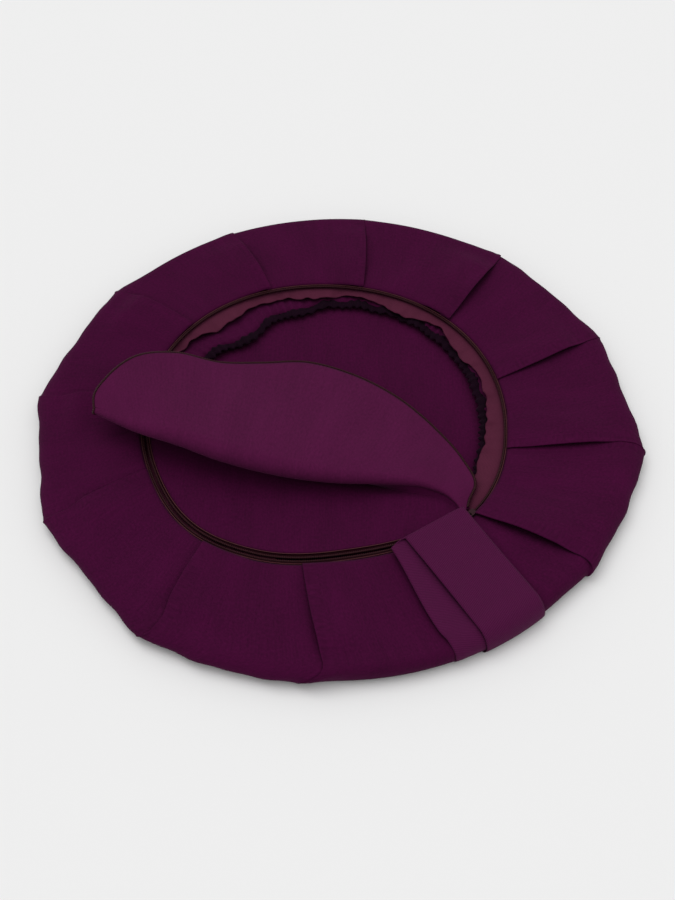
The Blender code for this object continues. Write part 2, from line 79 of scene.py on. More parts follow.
# Cover, round the hoop of the CAD model
HOOP_LOW, HOOP_HIGH = box_of("hoop_tube")
HOOP_RADIUS = HOOP_HIGH[0] - TUBE_RADIUS
HOOP_Z = (HOOP_LOW[2] + HOOP_HIGH[2]) / 2
HOOP_OUTER = HOOP_HIGH[0] + CLOTH  # the rim can't be pulled in further, because the hoop fills it
HALF_HEIGHT = 0.0112  # of the ring at the hoop
RING_EDGE_Z = 0.0196  # height of the ring's cloth at the zip
HEM_RADIUS = 0.236
BACK_RADIUS = 0.2448
CHANNEL_RADIUS = box_of("hoop_channel_flap")[1][0]  # outer edge of the channel's inner flap
TUCKS = 12
TUCK_STEP = 360 / TUCKS
TUCK_PHASE = -6.7  # degrees, angle of the first tuck
# One row for each tuck: radius of its corner, depth of the overlap, height of the fold, how far the fold
# drifts from its corner at the rim and at the zip in degrees, where across the strip it is deepest, and
# how far the side that follows it bulges
TUCK_ROWS = (
    (0.3400, 0.0085, 0.0046, 1.5, -3.6, 0.60, 0.000),
    (0.3305, 0.0090, 0.0052, -0.8, -5.2, 0.70, 0.001),
    (0.3275, 0.0135, 0.0085, -0.4, -4.8, 0.50, 0.001),
    (0.3210, 0.0075, 0.0044, 1.0, -4.4, 0.30, 0.000),
    (0.3230, 0.0065, 0.0048, 0.5, -4.2, 0.50, 0.001),
    (0.3290, 0.0070, 0.0058, -0.2, -5.0, 0.70, 0.001),
    (0.3365, 0.0060, 0.0050, 1.4, -2.6, 0.85, 0.000),
    (0.3375, 0.0060, 0.0050, 0.8, -2.4, 0.85, -0.001),
    (0.3380, 0.0100, 0.0062, 3.2, 0.6, 0.75, 0.007),
    (0.3275, 0.0115, 0.0068, 5.2, 1.6, 0.85, 0.000),
    (0.3195, 0.0030, 0.0010, 0.0, 0.0, 0.60, 0.000),
    (0.3275, 0.0105, 0.0085, 1.6, -1.0, 0.50, 0.005),
)
CORNER, OVERLAP, FOLD_HEIGHT, RIM_DRIFT, ZIP_DRIFT, DEEPEST, BULGE = np.array(TUCK_ROWS).T
FOLD_HALF = 2.1  # degrees on each side of a tuck that its fold takes
BETWEEN_FOLDS = 9.0  # place of a column that is in no fold

# Gathered elastic
GATHERS = 110  # small puckers round the whole circle
ELASTIC_Z = 0.0080
ELASTIC_HALF_WIDTH = 0.0043
ELASTIC_HALF_HEIGHT = 0.0017

# Zip
ZIP_CENTRE = sum(box_of("zip_coil_ring")) / 2
ZIP_RADIUS = 0.200  # of the CAD model's zip
SPLIT_ANGLE = -42.5  # where the slider stands
FREE_END = 165.0  # last tooth of the open part
START_ANGLE = 171.0  # first tooth of the closed part
COIL_RADIUS = 0.0012
COIL_OFFSET = 0.0024  # from the middle of the zip to the middle of each coil
TOOTH_PITCH = 0.0021
WELT_RADIUS = 0.00045
CORD_WEAVE = 0.002  # radius at which the weave is laid out round a cord
# The five outlines from here to CREST were first read off the photo with a measuring helper. They are
# thinned and rounded, but still follow the curves that the readings gave.
# The zip's middle: angle and radius where it stands, as the cover's cloth has drawn it out of round
ZIP_SHAPE = (
    (0, 0.195), (50, 0.201), (90, 0.201), (130, 0.205), (170, 0.200), (200, 0.199),
    (228, 0.202), (248, 0.194), (282, 0.181), (300, 0.186), (318, 0.196),
)
# Inner edge of the facing strip behind the zip, and the gathered elastic's middle, in the same way
FACING_SHAPE = (
    (0, 0.177), (24, 0.185), (34, 0.182), (50, 0.192), (62, 0.184), (80, 0.195), (94, 0.188),
    (110, 0.196), (130, 0.187), (141, 0.195), (180, 0.188), (240, 0.188), (300, 0.180), (345, 0.174),
)
ELASTIC_SHAPE = (
    (0, 0.164), (40, 0.175), (70, 0.186), (94, 0.187), (104, 0.180), (115, 0.180),
    (127, 0.167), (142, 0.180), (180, 0.181), (240, 0.181), (300, 0.176), (340, 0.164),
)

# Lid: free edge of the flap from the slider round to the lid's far corner
FREE_EDGE = (
    (0.136, -0.125, 0.020),  # slider
    (0.139, -0.108, 0.020),
    (0.147, -0.086, 0.020),  # near corner
    (0.136, -0.051, 0.017),
    (0.110, -0.010, 0.016),
    (0.060, 0.043, 0.016),
    (0.012, 0.073, 0.016),
    (-0.035, 0.086, 0.019),  # crown
    (-0.085, 0.081, 0.023),
    (-0.130, 0.072, 0.034),  # slight hollow
    (-0.180, 0.068, 0.055),
    (-0.222, 0.050, 0.068),  # shoulder
    (-0.249, 0.021, 0.068),
    (-0.261, -0.004, 0.065),  # far corner
    (-0.260, -0.017, 0.062),
)
# Middle of the roll at the flap's crest, with the roll's radius
CREST = (
    (0.134, -0.130, 0.019, 0.0005),
    (0.130, -0.115, 0.021, 0.0015),
    (0.119, -0.101, 0.023, 0.0030),
    (0.098, -0.091, 0.027, 0.0050),
    (0.050, -0.086, 0.032, 0.0075),
    (0.000, -0.086, 0.038, 0.0100),
    (-0.060, -0.079, 0.045, 0.0125),
    (-0.120, -0.068, 0.055, 0.0125),
    (-0.165, -0.052, 0.059, 0.0115),
    (-0.215, -0.036, 0.058, 0.0080),
    (-0.259, -0.017, 0.058, 0.0040),
)
LID_STATIONS = 240
CLOSED_FLAP_LIFT = 0.0058  # of the closed flap over its CAD plane, which clears the ring's folds
CLOSED_RETURN_LIFT = -0.0022  # of the closed return, which lies below the flap and the zip

# Strap
STRAP_ANGLE = -56.9
STRAP_SIDE = 0.0071
STRAP_WIDTH = 0.074
STRAP_INNER = 0.1765  # distance of its turned end from the middle
STRAP_OUTER = 0.304  # distance at which it leaves the top for the rim
STRAP_TOP = 0.0278  # height of its lower layer over the ring
STRAP_GAP = 0.0032  # between the middles of its two layers
STRAP_FAN = 0.034  # how far the lower layer has slipped sideways at the rim
STRAP_SLIP = 0.017  # and at its turned end
RIM_NORMAL = TUCK_PHASE - 1.5 * TUCK_STEP  # outward direction of the side that it crosses
RIM_FLAT = 0.332 * cos(radians(TUCK_STEP / 2))


# ---------------------------------------------------------------- geometry helpers


def polar(radius, angle, z=0.0):
    """Points at this radius and angle in degrees, stacked on a last axis of three."""
    a = np.radians(angle)
    return np.stack(np.broadcast_arrays(radius * np.cos(a), radius * np.sin(a), z), -1)


def ease(x, low=0.0, high=1.0):
    """0 below low, 1 above high and smooth between them."""
    t = np.clip((np.asarray(x, float) - low) / (high - low), 0, 1)
    return t * t * (3 - 2 * t)


def bump_at(x, middle, width):
    """1 at the middle, falling off smoothly on both sides."""
    return np.exp(-(((np.asarray(x, float) - middle) / width) ** 2))


def around(points, angle):
    """A value given at a few angles, as a smooth closed curve."""
    at, value = np.array(points, float).T
    at = np.r_[at[-2:] - 360, at, at[:2] + 360]
    value = np.r_[value[-2:], value, value[:2]]
    slope = np.gradient(value, at)
    turn = np.asarray(angle, float) % 360
    i = np.searchsorted(at, turn, side="right") - 1
    wide = at[i + 1] - at[i]
    t = (turn - at[i]) / wide
    start = value[i] * (1 + 2 * t) * (1 - t) ** 2 + slope[i] * wide * t * (1 - t) ** 2
    return start + value[i + 1] * t**2 * (3 - 2 * t) + slope[i + 1] * wide * t**2 * (t - 1)


def zip_radius(angle):
    return around(ZIP_SHAPE, angle)


def zip_half(angle):
    """From the middle of the zip to the edge of the cloth on each side: widest where it is pulled open."""
    return 0.0046 + 0.0024 * bump_at(np.asarray(angle, float) % 360, 268, 52)


def distances(path):
    """Distance of each point along a path."""
    return np.r_[0, np.cumsum(np.linalg.norm(np.diff(path, axis=0), axis=1))]


def through(points, count):
    """A smooth curve through these points, as count points evenly spaced along it."""
    p = np.array(points, float)
    at = distances(p)
    slope = np.gradient(p, at, axis=0)
    fine = np.linspace(0, at[-1], 1200)
    i = np.clip(np.searchsorted(at, fine, side="right") - 1, 0, len(p) - 2)
    gap = (at[i + 1] - at[i])[:, None]
    t = ((fine - at[i]) / gap[:, 0])[:, None]
    curve = (
        p[i] * (2 * t**3 - 3 * t**2 + 1)
        + p[i + 1] * (3 * t**2 - 2 * t**3)
        + slope[i] * gap * (t**3 - 2 * t**2 + t)
        + slope[i + 1] * gap * (t**3 - t**2)
    )
    length = distances(curve[:, :3])
    even = np.linspace(0, length[-1], count)
    return np.stack([np.interp(even, length, c) for c in curve.T], -1)


def unit(v):
    return v / np.maximum(np.linalg.norm(v, axis=-1, keepdims=True), 1e-12)


def pairs(u, v):
    """A grid of (u, v) pairs."""
    return np.stack(np.meshgrid(u, v, indexing="ij"), -1)


def sheet_normals(grid, closed):
    """Normal at each point of a grid of shape (along, across, 3)."""
    if closed:
        along = np.roll(grid, -1, 0) - np.roll(grid, 1, 0)
    else:
        along = np.gradient(grid, axis=0)
    return unit(np.cross(along, np.gradient(grid, axis=1)))


def add_object(name, points, faces, uv, look):
    """A smooth mesh object with one material. uv holds a pair in metres for each vertex."""
    mesh = bpy.data.meshes.new(name)
    mesh.from_pydata(points.reshape(-1, 3).tolist(), [], faces.tolist())
    layer = mesh.uv_layers.new(name="weave")
    index = np.zeros(len(mesh.loops), int)
    mesh.loops.foreach_get("vertex_index", index)
    layer.data.foreach_set("uv", uv.reshape(-1, 2)[index].astype(np.float32).ravel())
    mesh.shade_smooth()
    mesh.validate()
    mesh.update()
    obj = bpy.data.objects.new(name, mesh)
    obj.data.materials.append(look)
    bpy.context.scene.collection.objects.link(obj)
    return obj


def tube_faces(along, across, closed):
    """Quads of a grid that is closed across, and closed along as well if asked."""
    i = np.arange(along if closed else along - 1)[:, None]
    j = np.arange(across)[None, :]
    i2 = (i + 1) % along
    j2 = (j + 1) % across
    quads = [i * across + j, i2 * across + j, i2 * across + j2, i * across + j2]
    return np.stack(np.broadcast_arrays(*quads), -1).reshape(-1, 4)


def lengths(grid):
    """Mean distance of each grid point along and across the grid, for the weave."""
    u = np.linalg.norm(np.diff(grid, axis=0), axis=2).mean(axis=1)
    v = np.linalg.norm(np.diff(grid, axis=1), axis=2).mean(axis=0)
    return pairs(np.r_[0, np.cumsum(u)], np.r_[0, np.cumsum(v)])


def sheet(name, grid, thickness, look, closed=False, uv=None):
    """A sheet of cloth: the grid is its middle, and both faces and all edges are modelled."""
    normal = sheet_normals(grid, closed)
    along, across = grid.shape[:2]
    half = np.full(across, thickness / 2)
    # Its long edges are pressed thinner
    half[0] = half[-1] = thickness * 0.28
    offset = normal * half[None, :, None]
    both = np.concatenate([grid + offset, (grid - offset)[:, ::-1]], axis=1)
    faces = tube_faces(along, 2 * across, closed)
    if not closed:
        j = np.arange(across - 1)
        ends = []
        for row, flip in ((0, False), (along - 1, True)):
            base = row * 2 * across
            quad = [base + j, base + j + 1, base + 2 * across - 2 - j, base + 2 * across - 1 - j]
            ends.append(np.stack(quad[::-1] if flip else quad, -1))
        faces = np.concatenate([faces, *ends])
    if uv is None:
        uv = lengths(grid)
    uv = np.concatenate([uv, uv[:, ::-1]], axis=1)
    return add_object(name, both, faces, uv, look)


def cord(name, path, up, radius, look, sides=8, flat=0.85):
    """A cord along a path. radius may change along it, and flat is its height over its width."""
    ahead = unit(np.gradient(path, axis=0))
    side = unit(np.cross(ahead, np.broadcast_to(up, path.shape)))
    high = np.cross(side, ahead)
    turn = 2 * pi * np.arange(sides) / sides
    r = np.broadcast_to(radius, len(path))[:, None, None]
    ring = side[:, None] * np.cos(turn)[None, :, None] * r
    ring = ring + high[:, None] * np.sin(turn)[None, :, None] * r * flat
    faces = tube_faces(len(path), sides, False)
    return add_object(name, path[:, None] + ring, faces, pairs(distances(path), turn * CORD_WEAVE), look)


def coil(name, path, up=UP):
    """A zip coil: a cord whose thickness swells once for each tooth."""
    steps = 4  # points for each tooth
    teeth = max(2, round(distances(path)[-1] / TOOTH_PITCH))
    fine = through(path, teeth * steps + 1)
    swell = COIL_RADIUS * (1 - 0.42 * np.cos(2 * pi * np.arange(len(fine)) / steps))
    return cord(name, fine, up, swell, LOOKS["coil"])


def attach(piece, body, node):
    """The piece moves with this body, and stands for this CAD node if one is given."""
    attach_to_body(piece, body)
    if node:
        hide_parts(node)


# ---------------------------------------------------------------- materials


class Nodes:
    """A short way to build a material's nodes."""

    def __init__(self, name):
        self.material = bpy.data.materials.new(name)
        self.material.use_nodes = True
        self.tree = self.material.node_tree
        self.shader = self.tree.nodes["Principled BSDF"]
        self.coordinates = self.tree.nodes.new("ShaderNodeTexCoord").outputs
        self.uv = self.coordinates["UV"]

    def link(self, source, target):
        self.tree.links.new(source, target)

    def scaled(self, source, scale, turn=0.0):
        node = self.tree.nodes.new("ShaderNodeMapping")
        node.inputs["Scale"].default_value = scale
        node.inputs["Rotation"].default_value = (0, 0, radians(turn))
        self.link(source, node.inputs["Vector"])
        return node.outputs["Vector"]

    def noise(self, vector, scale, detail=3.0, rough=0.55):
        node = self.tree.nodes.new("ShaderNodeTexNoise")
        node.inputs["Scale"].default_value = scale
        node.inputs["Detail"].default_value = detail
        node.inputs["Roughness"].default_value = rough
        self.link(vector, node.inputs["Vector"])
        return node.outputs["Fac"]

    def wave(self, vector, scale, distortion=0.0, direction="X"):
        node = self.tree.nodes.new("ShaderNodeTexWave")
        node.bands_direction = direction
        node.inputs["Scale"].default_value = scale
        node.inputs["Distortion"].default_value = distortion
        node.inputs["Detail Scale"].default_value = 1.5
        self.link(vector, node.inputs["Vector"])
        return node.outputs["Fac"]

    def math(self, kind, a, b):
        node = self.tree.nodes.new("ShaderNodeMath")
        node.operation = kind
        for socket, value in zip(node.inputs, (a, b)):
            if isinstance(value, (int, float)):
                socket.default_value = value
            else:
                self.link(value, socket)
        return node.outputs["Value"]

    def total(self, *parts):
        """Sum of (value, share) pairs."""
        shares = [self.math("MULTIPLY", value, share) for value, share in parts]
        result = shares[0]
        for share in shares[1:]:
            result = self.math("ADD", result, share)
        return result

    def fit(self, value, low, high):
        node = self.tree.nodes.new("ShaderNodeMapRange")
        node.inputs["To Min"].default_value = low
        node.inputs["To Max"].default_value = high
        self.link(value, node.inputs["Value"])
        return node.outputs["Result"]

    def mix(self, share, first, second):
        node = self.tree.nodes.new("ShaderNodeMix")
        node.data_type = "RGBA"
        node.inputs["A"].default_value = (*first, 1)
        node.inputs["B"].default_value = (*second, 1)
        self.link(share, node.inputs["Factor"])
        return node.outputs["Result"]

    def bump(self, height, distance, strength=1.0):
        node = self.tree.nodes.new("ShaderNodeBump")
        node.inputs["Distance"].default_value = distance
        node.inputs["Strength"].default_value = strength
        self.link(height, node.inputs["Height"])
        self.link(node.outputs["Normal"], self.shader.inputs["Normal"])

    def colour(self, source, crease=0.0):
        """Base colour; crease is how much painted shade darkens it where other cloth is very close, in folds
        and creases.
        """
        if crease:
            # Painted shade: an ambient occlusion node darkens the colour where other cloth lies within reach
            near = self.tree.nodes.new("ShaderNodeAmbientOcclusion")
            near.samples = 8
            near.inputs["Distance"].default_value = 0.011
            node = self.tree.nodes.new("ShaderNodeMix")
            node.data_type = "RGBA"
            node.blend_type = "MULTIPLY"
            node.inputs["Factor"].default_value = 1.0
            self.link(source, node.inputs["A"])
            self.link(self.fit(near.outputs["AO"], 1 - crease, 1.0), node.inputs["B"])
            source = node.outputs["Result"]
        self.link(source, self.shader.inputs["Base Color"])

    def rough(self, source):
        self.link(source, self.shader.inputs["Roughness"])

    def settings(self, values):
        for socket, value in values.items():
            self.shader.inputs[socket].default_value = value


def tint(colour, factor):
    return tuple(c * factor for c in colour)


def stripes(pitch):
    """Scale of a wave texture whose stripes are this far apart."""
    return 2 / pitch / 6.2832


def knit(name, colour, wale=0.0011, contrast=0.17):
    """Fine brushed knit: wales across the weave's first axis, fuzz and slow changes of shade."""
    n = Nodes(name)
    wales = n.wave(n.uv, stripes(wale), 1.2)
    courses = n.wave(n.uv, stripes(wale / 0.7), 1.5, "Y")
    fuzz = n.noise(n.uv, 1500, 2.0, 0.7)
    blotch = n.noise(n.scaled(n.uv, (1, 0.35, 1)), 26, 5.0, 0.6)
    streak = n.noise(n.scaled(n.uv, (900, 22, 1)), 1.0, 2.0)
    grain = n.noise(n.scaled(n.uv, (1, 0.7, 1)), 430, 2.0, 0.6)
    shade = n.total((blotch, 0.30), (streak, 0.20), (grain, 0.40), (fuzz, 0.10))
    pale, deep = tint(colour, 1 + contrast * 2), tint(colour, 1 - contrast * 2)
    # 0.75 is the depth of the painted shade where other cloth lies close
    n.colour(n.mix(n.fit(shade, -1.0, 2.0), deep, pale), 0.75)
    n.bump(n.total((wales, 0.5), (courses, 0.25), (fuzz, 0.8)), 0.00022, 0.55)
    n.rough(n.fit(blotch, 0.82, 0.97))
    n.settings({"Sheen Weight": 0.03, "Sheen Roughness": 0.45, "Sheen Tint": (0.85, 0.45, 0.75, 1)})
    n.settings({"Specular IOR Level": 0.06})
    return n.material


def twill(name, colour, rib=0.0019, weft=0.0008):
    """Strap webbing: diagonal twill ribs, lighter along each rib, with a fine cross weave."""
    n = Nodes(name)
    ribs = n.wave(n.scaled(n.uv, (1, 1, 1), -24), stripes(rib), 0.4)
    cross = n.wave(n.uv, stripes(weft), 0.6, "Y")
    blotch = n.noise(n.uv, 60, 4.0)
    fuzz = n.noise(n.uv, 1800, 2.0)
    shade = n.total((ribs, 0.55), (cross, 0.15), (blotch, 0.3))
    # 0.75 is the depth of the painted shade where other cloth lies close
    n.colour(n.mix(shade, tint(colour, 0.70), tint(colour, 1.30)), 0.75)
    n.bump(n.total((ribs, 1.0), (cross, 0.35), (fuzz, 0.3)), 0.0004, 0.7)
    n.rough(n.fit(blotch, 0.68, 0.86))
    n.settings({"Sheen Weight": 0.03, "Sheen Tint": (0.85, 0.55, 0.80, 1), "Specular IOR Level": 0.07})
    return n.material


def nylon(name, colour, scale, roughness, lighter=1.8, gloss=0.08):
    """Plain woven tape or moulded coil: a fine rib, small spots of wear and uneven gloss."""
    n = Nodes(name)
    ribs = n.wave(n.uv, scale, 0.3, "Y")
    spots = n.noise(n.uv, 900, 3.0)
    wear = n.noise(n.uv, 90, 4.0)
    shade = n.total((ribs, 0.35), (spots, 0.35), (wear, 0.3))
    # 0.7 is the depth of the painted shade where other cloth lies close
    n.colour(n.mix(shade, tint(colour, 0.65), tint(colour, lighter)), 0.7)
    n.bump(n.total((ribs, 1.0), (spots, 0.4)), 0.0002, 0.6)
    n.rough(n.fit(wear, roughness - 0.1, roughness + 0.1))
    n.settings({"Specular IOR Level": gloss})
    return n.material


def moulded(name, colour, roughness, metallic=0.0, scratch=0.0003):
    """Hard plastic or metal with faint flow lines, scratches and handling marks, by object position."""
    n = Nodes(name)
    place = n.coordinates["Object"]
    flow = n.noise(n.scaled(place, (6, 6, 60)), 8, 5.0)
    scratches = n.noise(n.scaled(place, (40, 900, 900)), 2.0, 3.0)
    marks = n.noise(place, 70, 4.0)
    shade = n.total((flow, 0.6), (marks, 0.4))
    n.colour(n.mix(shade, tint(colour, 0.84), tint(colour, 1.12)))
    n.bump(n.total((scratches, 1.0), (marks, 1.0)), scratch, 0.35)
    n.rough(n.fit(scratches, roughness - 0.08, roughness + 0.12))
    n.settings({"Metallic": metallic})
    return n.material


LOOKS = {
    "ring": knit("cover_fabric", (0.0475, 0.0020, 0.0265)),
    # lid: the ring's plum fabric painted lighter, as painted light for the more strongly lit flap; the lower
    # lid and the return, of the same cloth, use the ring look
    "lid": knit("lid_fabric", (0.0730, 0.0060, 0.0410), 0.0010, 0.13),
    "facing": nylon("facing_tape", (0.076, 0.0140, 0.033), 300, 0.85, 1.45, 0.05),
    "tape": nylon("zip_tape", (0.016, 0.0022, 0.0048), 420, 0.80, 1.4, 0.04),
    "coil": nylon("zip_coil", (0.022, 0.0040, 0.0062), 200, 0.42, 2.2, 0.12),
    "welt": nylon("zip_welt", (0.085, 0.025, 0.030), 500, 0.70, 1.5),
    "elastic": knit("elastic", (0.0065, 0.0008, 0.0050), 0.0009, 0.25),
    "strap": twill("webbing", (0.068, 0.0048, 0.040)),
    "hoop": moulded("hoop_plastic", (0.62, 0.60, 0.58), 0.32),
    "plug": moulded("plug_plastic", (0.20, 0.20, 0.21), 0.45),
    "metal": moulded("zip_metal", (0.034, 0.016, 0.020), 0.42, 1.0, 0.00015),
    "pin": moulded("pin_steel", (0.60, 0.60, 0.62), 0.30, 1.0, 0.0001),
}


# ---------------------------------------------------------------- pleated ring


def outline_radius(angle):
    """The outline: nearly straight from tuck to tuck, with soft corners, and held out by the hoop."""
    turn = (np.asarray(angle, float) - TUCK_PHASE) / TUCK_STEP
    first = np.floor(turn).astype(int)
    share = turn - first
    a, b = CORNER[first % TUCKS], CORNER[(first + 1) % TUCKS]
    bulge = BULGE[first % TUCKS] * np.sin(pi * share) ** 1.5
    wide = radians(TUCK_STEP)
    # The line through (a, 0) and (b, step) in polar form, with its corners rounded
    share = 0.5 + (share - 0.5) * (1 - 0.075 * bump_at(np.abs(share - 0.5), 0.5, 0.14))
    r = a * b * sin(wide) / (a * np.sin(share * wide) + b * np.sin((1 - share) * wide))
    turn = np.radians(angle)
    r = r + bulge + 0.0007 * np.sin(31 * turn + 1) + 0.0005 * np.sin(53 * turn + 2)
    soft = 0.0012
    return HOOP_OUTER + 0.5 * (r - HOOP_OUTER + np.sqrt((r - HOOP_OUTER) ** 2 + soft**2))


def fold_side(p):
    """How far a knife fold's cloth runs sideways, for p from -1 on its lower side to 1 on its upper side."""
    return -np.sin(pi * p) * ease(1 - np.abs(p), 0, 0.35)


def fold_rise(p):
    """How far it has risen, from 0 on its lower side to 1 on its upper side."""
    return ease(p, -0.55, 0.45)


def ring_columns():
    """Angles round the ring with, for each, the nearest tuck and the place in its fold."""
    inside = np.linspace(-1, 1, 27)
    between = np.linspace(0, 1, 20)[1:-1]
    angle, tuck, place = [], [], []
    for k in range(TUCKS):
        middle = TUCK_PHASE + k * TUCK_STEP
        angle += list(middle + inside * FOLD_HALF)
        place += list(inside)
        tuck += [k] * len(inside)
        angle += list(middle + FOLD_HALF + between * (TUCK_STEP - 2 * FOLD_HALF))
        place += [BETWEEN_FOLDS] * len(between)
        tuck += [k] * len(between)
    return np.array(angle), np.array(tuck), np.array(place)


def ring_section():
    """Places across the strip: 0 at the zip, 1 at the hoop's top, 2 at its bottom and 3 at the hem."""
    return np.r_[np.linspace(0, 1, 34), np.linspace(1, 2, 22)[1:], np.linspace(2, 3, 16)[1:]]


def across_tucks(angle, values):
    """A value given for each tuck, which holds through its fold and changes over the panel."""
    turn = (angle - TUCK_PHASE) / TUCK_STEP
    first = np.floor(turn).astype(int)
    share = ease(turn - first, 0.08, 0.92)
    return values[first % TUCKS] * (1 - share) + values[(first + 1) % TUCKS] * share


def overlap_share(s):
    """Share of the folds' overlap across the strip: less round the rim and least at the hem."""
    return ((1 - 0.6 * ease(s, 1.0, 1.5)) * (1 - 0.6 * ease(s, 1.75, 2.8)))[None]


def turned_columns(angle, tuck, place, s):
    """The angle at each grid point, once the folds have drifted and the cloth overlaps in them."""
    q = np.clip(s, 0, 1)[None]
    drift = across_tucks(angle, ZIP_DRIFT)[:, None] * (1 - q) + across_tucks(angle, RIM_DRIFT)[:, None] * q
    drift = drift * (1 - ease(s, 1.05, 1.7))[None]
    side = fold_side(np.clip(place, -1, 1))
    radius = ZIP_RADIUS + (HOOP_RADIUS - ZIP_RADIUS) * q
    shift = (side * OVERLAP[tuck])[:, None] * overlap_share(s) * 0.8 / radius
    return angle[:, None] + drift + np.degrees(shift)


def fold_lift(angle, tuck, place, s):
    """Height over the plain cloth: full at a fold, sinking along the panel to the next one."""
    share = ((angle - TUCK_PHASE) % TUCK_STEP) / TUCK_STEP
    slope = np.where(np.abs(place) <= 1, fold_rise(place), 1 - ease(share, 0.04, 0.55))
    # Across the strip it is sewn flat at the zip, full over the top and weak round the rim
    q = np.clip(s, 0, 1)[None]
    strength = 0.42 + 0.40 * ease(s, 0.0, 0.4)[None] + 0.45 * bump_at(q, DEEPEST[tuck][:, None], 0.28)
    strength = strength * overlap_share(s) * (1 - 0.8 * ease(s, 0.74, 1.0))[None]
    return (FOLD_HEIGHT[tuck] * slope)[:, None] * strength


def plain_ring(turned, reach, s):
    """The strip without its folds: from the zip to the rim, round the hoop and back to the hem."""
    q = np.clip(s, 0, 1)
    edge = ZIP_CENTRE + polar(zip_radius(turned) + zip_half(turned), turned)
    crown = polar(HOOP_RADIUS, turned, HOOP_Z + HALF_HEIGHT)
    top = edge * (1 - q)[None, :, None] + crown * q[None, :, None]
    top[..., 2] = RING_EDGE_Z + (HOOP_Z + HALF_HEIGHT - RING_EDGE_Z) * q[None] ** 0.75
    top[..., 2] -= 0.0012 * bump_at(s, 0.0, 0.03)[None]
    over = np.clip(s - 1, 0, 1)[None] * pi
    rim = polar(HOOP_RADIUS + reach * np.sin(over) ** 0.85, turned)
    rim[..., 2] = HOOP_Z + HALF_HEIGHT * np.cos(over)
    back = np.clip(s - 2, 0, 1)[None]
    under = polar(HOOP_RADIUS + (HEM_RADIUS - HOOP_RADIUS) * back, turned, HOOP_Z - HALF_HEIGHT)
    return np.where((s <= 1)[None, :, None], top, np.where((s <= 2)[None, :, None], rim, under))


def add_creases(grid, turned, s):
    """Soft waves, and pull creases that run out from the zip and in from the rim."""
    q = np.clip(s, 0, 1)[None]
    seed = np.radians(turned)
    waves = 0.0008 * np.sin(7 * seed + 1.3) + 0.0006 * np.sin(17 * seed + 2.5 * q + 0.4)
    waves += 0.0003 * np.sin(43 * seed + 5 * q)
    grid[..., 2] += waves * np.sin(pi * q) ** 1.1 * (s < 1.0)
    random = np.random.default_rng(7)
    on_top = (1 - ease(s, 0.95, 1.2))[None]
    for crease in range(44):
        at, size = random.uniform(0, 360), random.uniform(-0.9, 0.9) * 0.0010
        wide, lean = random.uniform(0.7, 2.2), random.uniform(-9, 9)
        from_rim = crease % 2
        fade = ease(q, 0.45, 0.95) if from_rim else 1 - ease(q, 0.10, 0.65)
        away = (turned - at - lean * q + 180) % 360 - 180
        grid[..., 2] += size * bump_at(away, 0, wide) * fade * on_top


def make_ring():
    angle, tuck, place = ring_columns()
    s = ring_section()
    turned = turned_columns(angle, tuck, place, s)
    # Each fold's end stands out at the rim as a small ear, larger where the overlap is deeper
    usual_overlap = 0.007
    ear = 0.0004 * bump_at(place, 0.4, 0.7) * OVERLAP[tuck] / usual_overlap
    reach = outline_radius(angle) - HOOP_RADIUS + ear
    grid = plain_ring(turned, reach[:, None], s)
    # The lift points up on top, outwards at the rim and is pressed flat underneath
    lift = fold_lift(angle, tuck, place, s)
    tilt = np.clip(s - 0.9, 0, 1.1) / 1.1 * pi / 2
    grid = grid + polar(1.0, turned) * (lift * np.sin(tilt)[None] * 0.5)[..., None]
    grid[..., 2] += lift * np.cos(tilt)[None] * (1 - ease(s, 1.6, 2.0))[None]
    add_creases(grid, turned, s)
    middle_radius = 0.26
    uv = pairs(np.radians(angle) * middle_radius, distances(grid[5]))
    ring = sheet("pleated_ring_cloth", grid, CLOTH, LOOKS["ring"], True, uv)
    attach(ring, "cover", "pleated_ring")


# ---------------------------------------------------------------- inside the opening


def arc_grid(profile, angles, centre=(0, 0, 0)):
    """A profile of (radius, height) for each angle, carried round the centre."""
    a = np.broadcast_to(np.asarray(angles)[:, None], profile.shape[:2])
    return polar(profile[..., 0], a, profile[..., 1]) + np.asarray(centre)


def full_turn(count):
    return np.arange(count) * 360 / count


def gathers(a):
    """Puckers of the gathered cloth and elastic, from -1 to 1, at these angles in radians."""
    return np.sin(GATHERS * a + 2.2 * np.sin(13 * a))


def elastic_middle(angles):
    a = np.radians(angles)
    return around(ELASTIC_SHAPE, angles) + 0.0006 * np.sin(27 * a + np.sin(5 * a))


def make_back_panel():
    angles = full_turn(240)
    radii = np.linspace(0.0, BACK_RADIUS, 60)
    a = np.radians(angles)[:, None]
    z = 0.0011 + 0.0007 * (1 + np.sin(3 * a + 1) * np.sin(26 * radii)[None])
    z = z + 0.0004 * np.sin(5 * a + 30 * radii[None]) * ease(radii, 0.02, 0.08)[None]
    z = z * (1 - 0.3 * ease(radii, 0.225, 0.24))[None]
    flat = polar(radii[None], angles[:, None], z)
    panel = sheet("back_panel_cloth", flat, THIN_CLOTH, LOOKS["ring"], True, flat[..., :2])
    attach(panel, "cover", "back_panel")


def make_channel_flap():
    """The inner flap of the hoop's channel, from the gathered elastic out under the ring."""
    angles = full_turn(900)
    a = np.radians(angles)
    gather = gathers(a) * (0.7 + 0.3 * np.sin(7 * a + 1))
    share = np.linspace(0, 1, 16)
    inner = (elastic_middle(angles) + 0.0022)[:, None]
    r = inner + (CHANNEL_RADIUS - inner) * share[None]
    z = ELASTIC_Z + 0.0002 - 0.0046 * share[None]
    z = z + 0.0011 * gather[:, None] * (1 - ease(share, 0, 0.30))[None]
    z = z + 0.0012 * bump_at(share, 0.10, 0.08)[None]
    grid = arc_grid(np.stack([r, z], -1), angles)
    flap = sheet("channel_flap_cloth", grid, 0.0009, LOOKS["ring"], True)
    attach(flap, "cover", "hoop_channel_flap")


